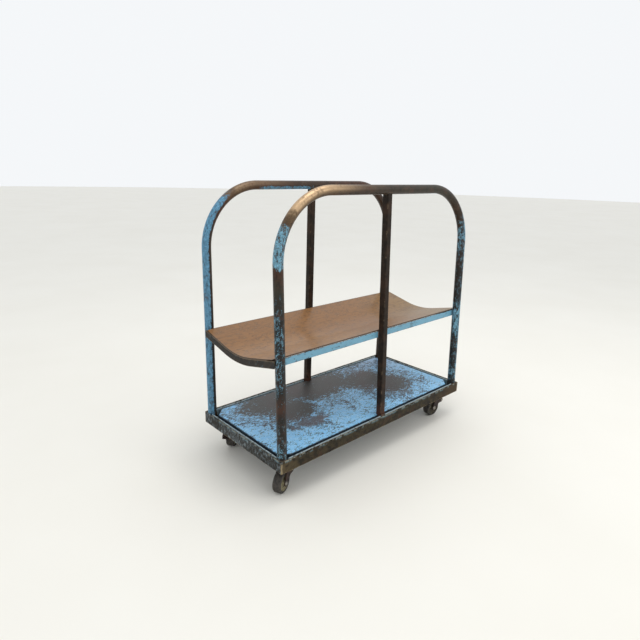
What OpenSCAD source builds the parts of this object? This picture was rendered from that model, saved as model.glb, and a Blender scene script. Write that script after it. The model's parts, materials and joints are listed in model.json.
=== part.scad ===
// Two-tier steel book cart: a welded angle base on four swivel casters, two bent tube hoops
// along the long sides, and a shallow trough shelf hung between them.
// The origin is on the floor under the centre of the base. +X runs along the cart, +Z is up.

/* [Overall] */
// Length of the base frame over its end rails
base_len = 790; // [640:5:960]
// Width of the base frame over its side rails
base_wid = 368; // [320:2:460]
// Height from the floor to the top of the hoops
total_h = 790; // [660:5:960]
// Height of the underside of the base frame above the floor
frame_z = 86; // [84:1:110]

/* [Base frame] */
// Leg of the frame's angle section
angle_leg = 34; // [28:1:42]
// Thickness of the frame's angle section
angle_t = 3.5; // [3:0.5:5]
// Radius of the bend inside the angle
angle_root_r = 3.5; // [1:0.5:6]
// Thickness of the edge strips beside the deck
strip_t = 3; // [2:0.5:4]
// Gap between the frame's upstand and the edge strip
strip_gap = 3.5; // [2:0.5:5]
// Thickness of the deck sheet
deck_t = 3; // [2:0.5:5]
// Gap between the frame's outer face and the edge of the deck
deck_inset = 20; // [14:1:26]
// Size of the cut-off corners of the deck
deck_corner = 26; // [20:1:40]
// Distance of the two deck bearers from the middle
bearer_x = 150; // [80:5:280]
// Size of the corner plates, from the frame's outer faces
corner_size = 94; // [84:1:110]

/* [Hoops] */
// Outer diameter of the hoop tube
tube_d = 25.4; // [21.3:0.1:30]
// Wall of the hoop tube
tube_wall = 2; // [1.2:0.1:3]
// Radius of the hoop's bends, to the middle of the tube
bend_r = 168; // [100:2:210]
// How far the front hoop leans in, degrees
lean_front = 2.1; // [0:0.1:4]
// How far the back hoop leans in, degrees
lean_back = 0.3; // [0:0.1:4]
// Side of the square middle posts
mid_post = 19; // [14:0.5:22]
// Wall of the square middle posts
mid_wall = 2; // [1.2:0.1:3]

/* [Shelf] */
// Height of the shelf panel's long edges above the floor
shelf_z = 384; // [300:2:480]
// Thickness of the shelf panel
panel_t = 4; // [3:0.5:8]
// Slope of the trough's sides, degrees
trough_slope = 13.5; // [8:0.5:20]
// Radius of the trough's rounded bottom
trough_r = 240; // [100:5:320]
// Height of the shelf rails and end rails
shelf_rail_h = 19; // [15:1:26]
// Thickness of the shelf rails and end rails
shelf_rail_t = 3; // [2:0.5:4]
// Width of the end rails' seat under the panel
shelf_seat = 16; // [12:1:22]

/* [Casters] */
// Distance of each swivel axis from the frame's outer faces
caster_inset = 53; // [50:1:60]
// Diameter of the wheels
wheel_d = 58; // [50:1:60]
// Width of the wheels
wheel_w = 24; // [18:1:28]
// Thickness of rubber over the wheel's core
tyre_t = 6.5; // [4:0.5:9]
// Distance from the swivel axis to the axle
trail = 20; // [16:1:24]
// Direction the front left caster trails at rest, degrees from +X
trail_fl = 204; // [0:1:359]
// Direction the back left caster trails at rest, degrees from +X
trail_bl = 38; // [0:1:359]
// Direction the front right caster trails at rest, degrees from +X
trail_fr = 178; // [0:1:359]
// Direction the back right caster trails at rest, degrees from +X
trail_br = 145; // [0:1:359]
// Diameter of the kingpin
kingpin_d = 10; // [8:1:12]
// Diameter of the axle
axle_d = 8; // [6:1:10]
// Diameter of the swivel balls
ball_d = 5; // [4:0.5:6]
// Number of balls in each swivel
ball_count = 12; // [8:1:14]

/* [Brakes] */
// Reach of the brake pedal from the swivel axis
pedal_reach = 44; // [38:1:50]
// Width of the brake pedal
pedal_w = 18; // [14:1:22]

/* [Hidden] */
$fn = 48;
eps = 0.01;
big = 2000;

// Running clearance of a pin in its hole, and of two bodies that turn past each other
pin_clear = 0.05;
turn_clear = 0.4;

// Colours
BRONZE = [0.34, 0.29, 0.20];
BLUE = [0.50, 0.70, 0.82];
DARK = [0.19, 0.15, 0.11];
BROWN = [0.63, 0.48, 0.36];
STEEL = [0.45, 0.44, 0.42];
PLUM = [0.24, 0.18, 0.17];
RUBBER = [0.08, 0.08, 0.08];
TAN = [0.62, 0.56, 0.42];

// Base frame
frame_top = frame_z + angle_leg;
floor_z = frame_z + angle_t;
strip_in = angle_t + max(strip_gap, angle_root_r);
deck_under = frame_top - deck_t;

// Hoops: the tube stands in the corner of the angle
tube_r = tube_d / 2;
post_in = angle_t + tube_r;
post_x = base_len / 2 - post_in;
post_y = base_wid / 2 - post_in;
hoop_top = total_h - tube_r - floor_z;
hoop_cut = 3;

// Shelf: the panel's long edges rest on the side rails, which run inside the middle posts
shelf_up = shelf_z - floor_z;
rail_face = mid_post / 2;
shelf_front_y = -post_y + rail_face + shelf_up * tan(lean_front);
shelf_back_y = post_y - rail_face - shelf_up * tan(lean_back);
shelf_half = (shelf_back_y - shelf_front_y) / 2;
shelf_mid_y = (shelf_back_y + shelf_front_y) / 2;
over = 60;
bottom_steps = 10;
shelf_bottom = shelf_half * tan(trough_slope) - trough_r * (1 / cos(trough_slope) - 1);
end_out = base_len / 2 - angle_t;
end_short = 4;
post_notch = tube_r + 0.8;

// Casters
FL = [-1, -1, trail_fl];
BL = [-1, 1, trail_bl];
FR = [1, -1, trail_fr];
BR = [1, 1, trail_br];
wheel_r = wheel_d / 2;
crown_t = 3;
crown_z = wheel_d + 4.5;
crown_r = 20;
race_r = 13.5;
groove_gap = 0.1;
race_sink = 1;
crown_top = crown_z + crown_t;
ball_z = crown_top + ball_d / 2 - race_sink;
head_plate_t = 4;
head_plate = 58;
head_plate_z = frame_z - head_plate_t;
head_rim_z = crown_top + 1;
leg_gap = 1.5;
leg_t = 2.5;
leg_in = wheel_w / 2 + leg_gap;
leg_out = leg_in + leg_t;
kingpin_r = kingpin_d / 2;
kingpin_head = 4.2;
nut_h = 7;
axle_r = axle_d / 2;
core_r = wheel_r - tyre_t;

// Brake: the pedal turns on a pin across the fork's front ears, ahead of the swivel axis
brake_x = -18;
brake_z = 49;
brake_pin_r = 2.5;
brake_eye_r = 5.5;
brake_lever = 7;
pedal_toe_z = 60;
shoe_drop = 13;

// A bar's outline with mitred ends, its long side on y = 0, running into +y
module mitred(length, depth) {
  polygon([[-length / 2, 0], [length / 2, 0], [length / 2 - depth, depth], [depth - length / 2, depth]]);
}

// The angle's section: the upstand on x = 0, the foot along +x, a fillet in the root
module angle_section(leg, t, root) {
  union() {
    square([t, leg]);
    square([leg, t]);
    difference() {
      square([t + root, t + root]);
      translate([t + root, t + root]) circle(r = root);
    }
  }
}

// One side of the base frame with mitred ends: outer face on y = 0, running into +y
module base_rail(length) {
  intersection() {
    translate([-length / 2, 0, frame_z]) rotate([90, 0, 90])
      linear_extrude(length) angle_section(angle_leg, angle_t, angle_root_r);
    translate([0, 0, frame_z - 1]) linear_extrude(angle_leg + 2) mitred(length, angle_leg + 1);
  }
}

module rail_front() { color(BRONZE) translate([0, -base_wid / 2, 0]) base_rail(base_len); }
module rail_back() { color(BRONZE) translate([0, base_wid / 2, 0]) rotate([0, 0, 180]) base_rail(base_len); }
module end_rail(side) {
  color(BRONZE) translate([side * base_len / 2, 0, 0]) rotate([0, 0, side * 90]) base_rail(base_wid);
}

// A flat bar on edge between x0 and x1, standing on the frame's foot
module edge_bar(x0, x1) {
  translate([x0, strip_in, floor_z]) cube([x1 - x0, strip_t, frame_top - floor_z - 1]);
}

// Mirrors across the cart's middle for side = 1 and leaves side = -1 alone
module scale_y(side) { mirror([0, side > 0 ? 1 : 0, 0]) children(); }

// The long edge strips stop at the corner posts and at the middle post
module long_edge(side) {
  stop = post_x - tube_r - 1;
  color(BLUE) scale_y(side) translate([0, -base_wid / 2, 0]) {
    edge_bar(-stop, -mid_post / 2 - 0.5);
    edge_bar(mid_post / 2 + 0.5, stop);
  }
}

module short_edge(side) {
  stop = post_y - tube_r - 1;
  color(BLUE) rotate([0, 0, side > 0 ? 90 : -90]) translate([0, -base_len / 2, 0]) edge_bar(-stop, stop);
}

// The deck's outline, t in from its edge: cut-off corners and a notch at each middle post
module deck_outline(t) {
  x = base_len / 2 - deck_inset;
  y = base_wid / 2 - deck_inset;
  xc = x - deck_corner - t * (sqrt(2) - 1);
  yc = y - deck_corner - t * (sqrt(2) - 1);
  xt = x - t;
  yt = y - t;
  nx = mid_post / 2 + 1.5 + t;
  ny = post_y - mid_post / 2 - 1.5 - t;
  polygon([[-xc, -yt], [-nx, -yt], [-nx, -ny], [nx, -ny], [nx, -yt], [xc, -yt], [xt, -yc], [xt, yc],
    [xc, yt], [nx, yt], [nx, ny], [-nx, ny], [-nx, yt], [-xc, yt], [-xt, yc], [-xt, -yc]]);
}

// The deck: a sheet whose edges are folded down to stand on the frame's feet
module deck_panel() {
  color(BLUE) difference() {
    translate([0, 0, floor_z]) linear_extrude(frame_top - floor_z) deck_outline(0);
    translate([0, 0, floor_z - 1]) linear_extrude(deck_under - floor_z + 1) deck_outline(deck_t);
  }
}

// An angle bearer across the frame, between the deck's folds, standing on the side rails' feet
module deck_bearer(side) {
  reach = base_wid / 2 - deck_inset - deck_t - 0.5;
  size = deck_under - floor_z;
  color(STEEL) translate([side * bearer_x, reach, floor_z]) rotate([90, 0, 0]) linear_extrude(2 * reach)
    mirror([side > 0 ? 1 : 0, 0]) translate([0, size]) mirror([0, 1]) angle_section(size, 3, 2);
}

module at_corner(c) { translate([c[0] * base_len / 2, c[1] * base_wid / 2, 0]) children(); }
module at_caster(c) {
  translate([c[0] * (base_len / 2 - caster_inset), c[1] * (base_wid / 2 - caster_inset), 0]) children();
}
module in_fork(c) { at_caster(c) rotate([0, 0, c[2]]) children(); }

// A plate that fills the corner between the feet of two rails, flush with them
module corner_plate(c) {
  a = angle_leg;
  b = corner_size;
  cut = 18;
  color(STEEL) difference() {
    at_corner(c) translate([0, 0, frame_z]) mirror([c[0] > 0 ? 1 : 0, 0, 0]) mirror([0, c[1] > 0 ? 1 : 0, 0])
      linear_extrude(angle_t) polygon([[a, a], [b, a], [b, b - cut], [b - cut, b], [a, b]]);
    at_caster(c) translate([0, 0, frame_z - 1]) cylinder(r = kingpin_r + pin_clear, h = angle_t + 2);
  }
}

// The plane of a hoop: x along the cart, z up its posts from the frame's foot, leaning in
module hoop_frame(side) {
  lean = side < 0 ? -lean_front : lean_back;
  translate([0, side * post_y, floor_z]) rotate([lean, 0, 0]) children();
}

// The hoop's tube or, with a smaller radius, its bore: two posts, two bends and the top rail
module hoop_run(r) {
  for (s = [-1, 1]) {
    translate([s * post_x, 0, -hoop_cut]) cylinder(r = r, h = hoop_top - bend_r + hoop_cut);
    translate([s * (post_x - bend_r), 0, hoop_top - bend_r])
      mirror([s < 0 ? 1 : 0, 0, 0]) rotate([90, 0, 0])
        rotate_extrude(angle = 90, $fn = 96) translate([bend_r, 0]) circle(r = r);
  }
  translate([bend_r - post_x, 0, hoop_top]) rotate([0, 90, 0]) cylinder(r = r, h = 2 * (post_x - bend_r));
}

// The space over the frame's feet, less the band that the angles' root radius takes
module above_foot() {
  root = angle_t + angle_root_r;
  difference() {
    translate([-big / 2, -big / 2, floor_z]) cube([big, big, big]);
    translate([0, 0, floor_z - 1]) linear_extrude(angle_root_r + 1) difference() {
      square([base_len, base_wid], center = true);
      square([base_len - 2 * root, base_wid - 2 * root], center = true);
    }
  }
}

module hoop(side, paint) {
  color(paint) intersection() {
    hoop_frame(side) difference() {
      hoop_run(tube_r);
      hoop_run(tube_r - tube_wall);
    }
    above_foot();
  }
}

// The square post under the middle of the top rail, coped to the tube
module mid_post_bar(side) {
  half = mid_post / 2;
  color(DARK) intersection() {
    hoop_frame(side) difference() {
      translate([-half, -half, -hoop_cut]) cube([mid_post, mid_post, hoop_top + hoop_cut]);
      translate([0, 0, -2 * hoop_cut]) linear_extrude(hoop_top - tube_r)
        square(mid_post - 2 * mid_wall, center = true);
      translate([-mid_post, 0, hoop_top]) rotate([0, 90, 0]) cylinder(r = tube_r, h = 2 * mid_post);
    }
    above_foot();
  }
}

// The trough's line in the (y, z) plane, d below the panel's top: a straight side, the round
// bottom and the other side. Zero is the height of the long edges.
function trough_line(d) = concat(
  [[-shelf_half - over, over * tan(trough_slope) - d / cos(trough_slope)]],
  [for (a = [-trough_slope : trough_slope / bottom_steps : trough_slope + eps])
    [(trough_r + d) * sin(a), trough_r - shelf_bottom - (trough_r + d) * cos(a)]],
  [[shelf_half + over, over * tan(trough_slope) - d / cos(trough_slope)]]
);
function backwards(list) = [for (i = [len(list) - 1 : -1 : 0]) list[i]];

// Everything over the line at depth d
module space_above(d) {
  polygon(concat(trough_line(d), [[shelf_half + over, 2 * over], [-shelf_half - over, 2 * over]]));
}

// The band between the lines at two depths, cut off at y0 and y1
module trough_band(d0, d1, y0, y1) {
  intersection() {
    polygon(concat(trough_line(d0), backwards(trough_line(d1))));
    translate([y0, -2 * over]) square([y1 - y0, 4 * over]);
  }
}

// Carries a (y, z) sketch of the shelf along x from x0 to x1
module along_shelf(x0, x1) {
  translate([x0, shelf_mid_y, shelf_z]) rotate([90, 0, 90]) linear_extrude(x1 - x0) children();
}

// The side rail: a flat bar on edge behind the middle post, between the corner posts
module shelf_rail(side) {
  inner = side < 0 ? rail_face : -rail_face - shelf_rail_t;
  color(BLUE) difference() {
    hoop_frame(side) difference() {
      translate([-post_x, inner, shelf_up - shelf_rail_h - panel_t])
        cube([2 * post_x, shelf_rail_t, shelf_rail_h + panel_t + 6]);
      for (s = [-1, 1]) translate([s * post_x, 0, shelf_up - 60]) cylinder(r = tube_r, h = 90);
    }
    along_shelf(-big / 2, big / 2) space_above(panel_t);
  }
}

// The end rail: a bent angle outside the posts, with its seat under the panel
module shelf_end(side) {
  y_front = -post_y + shelf_up * tan(lean_front) - shelf_mid_y + end_short;
  y_back = post_y - shelf_up * tan(lean_back) - shelf_mid_y - end_short;
  seat_front = shelf_front_y - shelf_mid_y + tube_r - rail_face + 3;
  seat_back = shelf_back_y - shelf_mid_y - tube_r + rail_face - 3;
  color(DARK) mirror([side < 0 ? 1 : 0, 0, 0]) union() {
    along_shelf(end_out - eps, end_out + shelf_rail_t)
      trough_band(panel_t, panel_t + shelf_rail_h, y_front, y_back);
    along_shelf(end_out - shelf_seat, end_out)
      trough_band(panel_t, panel_t + shelf_rail_t, seat_front, seat_back);
  }
}

// The shelf panel: a sheet bent to the trough, notched round the corner posts
module shelf_panel() {
  x = end_out + shelf_rail_t;
  color(BROWN) difference() {
    along_shelf(-x, x) trough_band(0, panel_t, shelf_front_y - shelf_mid_y, shelf_back_y - shelf_mid_y);
    for (side = [-1, 1]) hoop_frame(side) for (s = [-1, 1])
      translate([s * (post_x + tube_r), 0, shelf_up])
        cube([4 * post_notch, 2 * post_notch, 60], center = true);
  }
}

// The fixed half of a swivel: a square plate and the dome that holds the upper race
module swivel_head(c) {
  corner = 6;
  s = head_plate / 2 - corner;
  color(PLUM) at_caster(c) difference() {
    union() {
      translate([0, 0, head_plate_z]) linear_extrude(head_plate_t) union() {
        square([head_plate, 2 * s], center = true);
        square([2 * s, head_plate], center = true);
        for (x = [-s, s], y = [-s, s]) translate([x, y]) circle(r = corner);
      }
      rotate_extrude() polygon([[0, head_rim_z], [crown_r, head_rim_z], [crown_r, head_rim_z + 4],
        [crown_r - 3, head_plate_z], [crown_r - 3, head_plate_z + 1], [0, head_plate_z + 1]]);
    }
    translate([0, 0, head_rim_z - 1])
      cylinder(r = race_r + ball_d / 2 + 1.2, h = ball_z - head_rim_z + 1 + ball_d / 2 - race_sink);
    rotate_extrude() translate([race_r, ball_z]) circle(r = ball_d / 2 + turn_clear);
    translate([0, 0, head_rim_z - 1]) cylinder(r = kingpin_r + pin_clear, h = frame_z);
  }
}

// The kingpins: hex head under the crown, shank up through the corner plate, end above the nut
module kingpins() {
  color(STEEL) for (c = [FL, BL, FR, BR]) at_caster(c) {
    head_z = crown_z - turn_clear;
    translate([0, 0, head_z - kingpin_head]) cylinder(r = 8.5, h = kingpin_head, $fn = 6);
    translate([0, 0, head_z - 1]) cylinder(r = kingpin_r, h = floor_z + nut_h + 3 - head_z);
  }
}

module kingpin_nuts() {
  color(STEEL) for (c = [FL, BL, FR, BR]) at_caster(c) translate([0, 0, floor_z]) difference() {
    cylinder(r = 9.5, h = nut_h, $fn = 6);
    translate([0, 0, -1]) cylinder(r = kingpin_r + pin_clear, h = nut_h + 2);
  }
}

// Outline of a fork leg in the (x, z) plane: crown to axle, with an ear ahead for the brake pin
module leg_outline() {
  eye = 9;
  difference() {
    union() {
      polygon([[-13, crown_top], [13, crown_top], [trail + eye, wheel_r + 2],
        [trail - eye, wheel_r - 3], [-13, crown_z - 12]]);
      translate([trail, wheel_r]) circle(r = eye);
      polygon([[-13, crown_top - 1], [-4, crown_top - 1], [-4, brake_z - 8],
        [brake_x + 3, brake_z - 6.3], [brake_x - 4, brake_z - 5.5], [brake_x - 4, brake_z + 5.5]]);
      translate([brake_x, brake_z]) circle(r = 7);
    }
    translate([brake_x, brake_z]) circle(r = brake_pin_r + pin_clear);
    translate([trail, wheel_r]) circle(r = axle_r + pin_clear);
  }
}

// The swivelling fork: a round crown with a ball groove, and two pressed legs
module fork(c) {
  color(PLUM) in_fork(c) difference() {
    union() {
      translate([0, 0, crown_z]) cylinder(r = crown_r, h = crown_t);
      for (s = [-1, 1]) translate([0, s * (leg_in + leg_t / 2) + leg_t / 2, 0]) rotate([90, 0, 0])
        linear_extrude(leg_t) leg_outline();
    }
    translate([0, 0, crown_z - 1]) cylinder(r = kingpin_r + pin_clear, h = crown_t + 2);
    rotate_extrude() translate([race_r, ball_z]) circle(r = ball_d / 2 + groove_gap);
  }
}

module ball_ring(c) {
  color(STEEL) in_fork(c) for (i = [0 : ball_count - 1]) rotate([0, 0, i * 360 / ball_count])
    translate([race_r, 0, ball_z]) sphere(d = ball_d, $fn = 24);
}

// The axle: a rivet through both legs with a head on each side
module axle(c) {
  color(STEEL) in_fork(c) translate([trail, 0, wheel_r]) rotate([90, 0, 0]) {
    translate([0, 0, -leg_out - 1]) cylinder(r = axle_r, h = 2 * leg_out + 2);
    for (s = [-1, 1]) mirror([0, 0, s < 0 ? 1 : 0]) translate([0, 0, leg_out])
      cylinder(r1 = 6.5, r2 = 4.5, h = 2.5);
  }
}

module at_wheel(c) { in_fork(c) translate([trail, 0, wheel_r]) rotate([90, 0, 0]) children(); }

// Half outline of a ring from r0 to r1, w wide, with its outer corners rounded
module ring_section(r0, r1, w, round_r) {
  union() {
    translate([r0, -w / 2]) square([r1 - r0 - round_r, w]);
    translate([r0, round_r - w / 2]) square([r1 - r0, w - 2 * round_r]);
    for (s = [-1, 1]) translate([r1 - round_r, s * (w / 2 - round_r)]) circle(r = round_r);
  }
}

module tyre(c) {
  color(RUBBER) at_wheel(c) rotate_extrude($fn = 96) ring_section(core_r, wheel_r, wheel_w, 3);
}

// The wheel's core: a dished disc with a hub that runs on the axle
module wheel_core(c) {
  w = wheel_w / 2 - 1;
  hub = wheel_w / 2 + leg_gap - turn_clear;
  color(TAN) at_wheel(c) difference() {
    rotate_extrude($fn = 96) polygon([[0, -hub], [8, -hub], [9.5, 3 - w], [core_r - 4, 3 - w],
      [core_r - 2.5, -w], [core_r, -w], [core_r, w], [core_r - 2.5, w],
      [core_r - 4, w - 3], [9.5, w - 3], [8, hub], [0, hub]]);
    cylinder(r = axle_r + pin_clear, h = 60, center = true);
  }
}

// The brake pedal in the (x, z) plane: a toe ahead, a round eye on the pin and a shoe below
module pedal_outline() {
  toe = -pedal_reach;
  polygon(concat(
    [[toe + 8, pedal_toe_z - 1 - brake_lever], [toe, pedal_toe_z - 6]],
    [[toe, pedal_toe_z - 2], [toe + 7, pedal_toe_z + 1]],
    [for (a = [90 : -10 : -10]) [brake_x + brake_eye_r * cos(a), brake_z + brake_eye_r * sin(a)]],
    [[brake_x + 8, brake_z - 6], [brake_x + 6, brake_z - shoe_drop], [brake_x + 1, brake_z - shoe_drop],
     [brake_x - 4, brake_z - 3.5]]));
}

module brake_pedal(c) {
  color(PLUM) in_fork(c) difference() {
    translate([0, pedal_w / 2, 0]) rotate([90, 0, 0]) linear_extrude(pedal_w) pedal_outline();
    translate([brake_x, pedal_w, brake_z]) rotate([90, 0, 0])
      cylinder(r = brake_pin_r + pin_clear, h = 2 * pedal_w);
  }
}

module brake_pin(c) {
  color(STEEL) in_fork(c) translate([brake_x, 0, brake_z]) rotate([90, 0, 0]) {
    translate([0, 0, -leg_out - 1]) cylinder(r = brake_pin_r, h = 2 * leg_out + 2);
    for (s = [-1, 1]) mirror([0, 0, s < 0 ? 1 : 0]) translate([0, 0, leg_out]) cylinder(r = 4, h = 1.5);
  }
}

rail_front();
rail_back();
end_rail(-1);  // rail_left
end_rail(1);  // rail_right
long_edge(-1);  // deck_edge_front
long_edge(1);  // deck_edge_back
short_edge(-1);  // deck_edge_left
short_edge(1);  // deck_edge_right
deck_panel();
deck_bearer(-1);  // deck_bearer_left
deck_bearer(1);  // deck_bearer_right
corner_plate(FL);  // corner_plate_fl
corner_plate(BL);  // corner_plate_bl
corner_plate(FR);  // corner_plate_fr
corner_plate(BR);  // corner_plate_br
hoop(-1, DARK);  // hoop_front
hoop(1, BLUE);  // hoop_back
mid_post_bar(-1);  // mid_post_front
mid_post_bar(1);  // mid_post_back
shelf_rail(-1);  // shelf_rail_front
shelf_rail(1);  // shelf_rail_back
shelf_end(-1);  // shelf_end_left
shelf_end(1);  // shelf_end_right
shelf_panel();
swivel_head(FL);  // swivel_head_fl
swivel_head(BL);  // swivel_head_bl
swivel_head(FR);  // swivel_head_fr
swivel_head(BR);  // swivel_head_br
kingpins();
kingpin_nuts();
fork(FL);  // fork_fl
fork(BL);  // fork_bl
fork(FR);  // fork_fr
fork(BR);  // fork_br
ball_ring(FL);  // ball_ring_fl
ball_ring(BL);  // ball_ring_bl
ball_ring(FR);  // ball_ring_fr
ball_ring(BR);  // ball_ring_br
axle(FL);  // axle_fl
axle(BL);  // axle_bl
axle(FR);  // axle_fr
axle(BR);  // axle_br
tyre(FL);  // tyre_fl
tyre(BL);  // tyre_bl
tyre(FR);  // tyre_fr
tyre(BR);  // tyre_br
wheel_core(FL);  // wheel_core_fl
wheel_core(BL);  // wheel_core_bl
wheel_core(FR);  // wheel_core_fr
wheel_core(BR);  // wheel_core_br
brake_pedal(FL);  // brake_pedal_fl
brake_pedal(BL);  // brake_pedal_bl
brake_pedal(FR);  // brake_pedal_fr
brake_pedal(BR);  // brake_pedal_br
brake_pin(FL);  // brake_pin_fl
brake_pin(BL);  // brake_pin_bl
brake_pin(FR);  // brake_pin_fr
brake_pin(BR);  // brake_pin_br
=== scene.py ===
"""Book cart: welded steel base on casters, two tube hoops, a brown trough shelf, old chipped paint."""

import json
import math

import bpy
import numpy as np
from mathutils import Matrix, Vector


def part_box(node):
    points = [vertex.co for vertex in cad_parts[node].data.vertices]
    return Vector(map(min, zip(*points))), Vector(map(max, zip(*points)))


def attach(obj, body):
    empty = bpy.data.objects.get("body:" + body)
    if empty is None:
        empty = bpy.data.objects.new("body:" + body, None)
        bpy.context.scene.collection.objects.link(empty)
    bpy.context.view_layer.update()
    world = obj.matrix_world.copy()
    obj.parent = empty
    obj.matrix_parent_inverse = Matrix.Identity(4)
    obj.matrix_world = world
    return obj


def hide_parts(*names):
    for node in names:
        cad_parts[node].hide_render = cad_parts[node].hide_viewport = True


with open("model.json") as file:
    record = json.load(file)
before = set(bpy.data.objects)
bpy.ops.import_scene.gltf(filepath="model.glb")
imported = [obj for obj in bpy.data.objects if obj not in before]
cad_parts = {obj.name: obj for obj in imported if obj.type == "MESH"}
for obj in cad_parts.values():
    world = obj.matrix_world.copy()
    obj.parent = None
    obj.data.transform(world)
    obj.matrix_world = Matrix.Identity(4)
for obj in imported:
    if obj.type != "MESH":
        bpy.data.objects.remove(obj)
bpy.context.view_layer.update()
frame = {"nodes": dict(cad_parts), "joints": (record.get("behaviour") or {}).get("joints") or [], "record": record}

MM = 0.001
CORNERS = ("fl", "bl", "fr", "br")      # front or back, then left or right

# ---- sizes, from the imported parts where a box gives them

rail_lo, rail_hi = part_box("rail_front")
HALF_L = rail_hi.x
HALF_W = -rail_lo.y
FRAME_Z = rail_lo.z
FRAME_TOP = rail_hi.z
LEG = rail_hi.z - rail_lo.z
ANGLE_T = 3.5 * MM                      # thickness of the base's angle, and its inside fillet
ROOT_R = 3.5 * MM
FOOT_Z = FRAME_Z + ANGLE_T              # top of the angle's foot, where hoops and posts stand
BASE_CORNER_R = 2.5 * MM                # of the base's outside corners, seen from above
HAIR = 0.05 * MM                        # the least radius of a rounded corner
TUBE_R = 12.7 * MM
BEND_R = 168 * MM                       # of the hoops' bends, to the tube's middle
POST_X = HALF_L - ANGLE_T - TUBE_R
POST_Y = HALF_W - ANGLE_T - TUBE_R
HOOP_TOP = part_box("hoop_front")[1].z - TUBE_R - FOOT_Z
LEAN = {-1: math.radians(2.1), 1: math.radians(-0.3)}       # of the front and the back hoop
MID_HALF = 9.5 * MM                     # half the width of a middle post
PANEL_T = 4 * MM
SLOPE = math.radians(13.5)              # of the trough's sides, and the radius of its bottom
TROUGH_R = 240 * MM
SHELF_RAIL_H = 19 * MM
SHELF_RAIL_T = 3 * MM
HALF_CHORD = math.sqrt(TUBE_R ** 2 - MID_HALF ** 2)         # the tube's reach at a rail's face
SIDES = (("front", -1), ("back", 1))
ENDS = (("left", -1), ("right", 1))
panel_lo, panel_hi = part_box("shelf_panel")
SHELF_Z = panel_hi.z
SHELF_UP = SHELF_Z - FOOT_Z
RAIL_LOW = SHELF_UP - SHELF_RAIL_H - PANEL_T
SHELF_MID = (panel_lo.y + panel_hi.y) / 2
SHELF_HALF = (panel_hi.y - panel_lo.y) / 2
SHELF_END = HALF_L - ANGLE_T
TROUGH_DROP = SHELF_HALF * math.tan(SLOPE) - TROUGH_R * (1 / math.cos(SLOPE) - 1)


# ---- shapes

def unit(v):
    return v / np.linalg.norm(v, axis=-1, keepdims=True)


def wobble(points, wavelength, seed):
    """A smooth uneven field from -1 to 1: the mean of six plane sine waves of about one wavelength,
    in directions and phases drawn from the seed."""
    draw = np.random.default_rng(seed)
    ways = unit(draw.normal(size=(6, 3))) * (2 * np.pi / wavelength) * draw.uniform(0.7, 1.4, (6, 1))
    return np.sin(points @ ways.T + draw.uniform(0, 2 * np.pi, 6)).mean(-1) * 1.6


def rounded_outline(corners, radius, rim, steps=4):
    """A closed outline: each corner of a polygon is swung about a centre set back by radius times
    the tangent of half the turn, and one point stands rim beyond each end of the arc, or less where
    the straight is short. Returns the points and how far each is on an outer edge: 1 on the outward
    arcs, 0 beyond them."""
    corner = np.asarray(corners, float)
    radius = np.broadcast_to(np.asarray(radius, float), len(corner))[:, None]
    side = np.roll(corner, -1, 0) - corner
    out = unit(side)
    into = np.roll(out, 1, 0)
    turn = np.arctan2(into[:, 0] * out[:, 1] - into[:, 1] * out[:, 0], (into * out).sum(1))[:, None]
    back = radius * np.tan(np.abs(turn) / 2)
    start = corner - into * back
    centre = start + np.stack([-into[:, 1], into[:, 0]], 1) * np.sign(turn) * radius
    arm = start - centre
    a = np.linspace(0, 1, steps + 1)[None] * turn
    arc = centre[:, None] + np.stack([arm[:, :1] * np.cos(a) - arm[:, 1:] * np.sin(a),
                                      arm[:, :1] * np.sin(a) + arm[:, 1:] * np.cos(a)], -1)
    straight = np.linalg.norm(side, axis=1, keepdims=True) - back - np.roll(back, -1, 0)
    beyond = np.minimum(rim, 0.4 * straight)
    before = np.roll(beyond, 1, 0)
    first, last = start - into * before, corner + out * (back + beyond)
    points = np.concatenate([first[:, None], arc, last[:, None]], 1)
    worn = np.zeros(points.shape[:2])
    worn[:, 1:-1] = turn > 0
    return points.reshape(-1, 2), worn.ravel()


def surface(name, points, body, slot, replaces=(), closed=False, crease=40, **fields):
    """Makes a piece from a grid of points, stations by outline, joined by four-sided faces. The
    outline closes on itself, the two end stations are capped unless the stations close too, and
    the whole is turned so that its faces look outward. The fields are stored on its points."""
    n, m = points.shape[:2]
    ids = np.arange(n * m).reshape(n, m)
    near = ids if closed else ids[:-1]
    far = np.roll(ids, -1, 0) if closed else ids[1:]
    quads = np.stack([near, np.roll(near, -1, 1), np.roll(far, -1, 1), far], -1).reshape(-1, 4)
    flat = points.reshape(-1, 3)
    p = flat - flat.mean(0)
    a, b, c, d = (p[quads[:, k]] for k in range(4))
    volume = (np.cross(a, b) * c).sum() + (np.cross(a, c) * d).sum()
    caps = [] if closed else [ids[0][::-1], ids[-1]]
    for cap in caps:
        fan = p[cap]
        volume += (np.cross(fan[1:-1], fan[2:]) * fan[0]).sum()
    if volume < 0:
        quads = quads[:, ::-1]
        caps = [cap[::-1] for cap in caps]
    mesh = bpy.data.meshes.new(name)
    mesh.from_pydata(flat.tolist(), [], quads.tolist() + [cap.tolist() for cap in caps])
    mesh.polygons.foreach_set("use_smooth", np.ones(len(mesh.polygons), bool))
    mesh.set_sharp_from_angle(angle=math.radians(crease))
    for field, values in fields.items():
        layer = mesh.attributes.new(field, "FLOAT", "POINT")
        layer.data.foreach_set("value", np.broadcast_to(values, (n, m)).astype(np.float32).ravel())
    piece = bpy.data.objects.new(name, mesh)
    bpy.context.scene.collection.objects.link(piece)
    mesh.materials.append(finishes[slot])
    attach(piece, body)
    if replaces:
        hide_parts(*replaces)
    return piece


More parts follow.
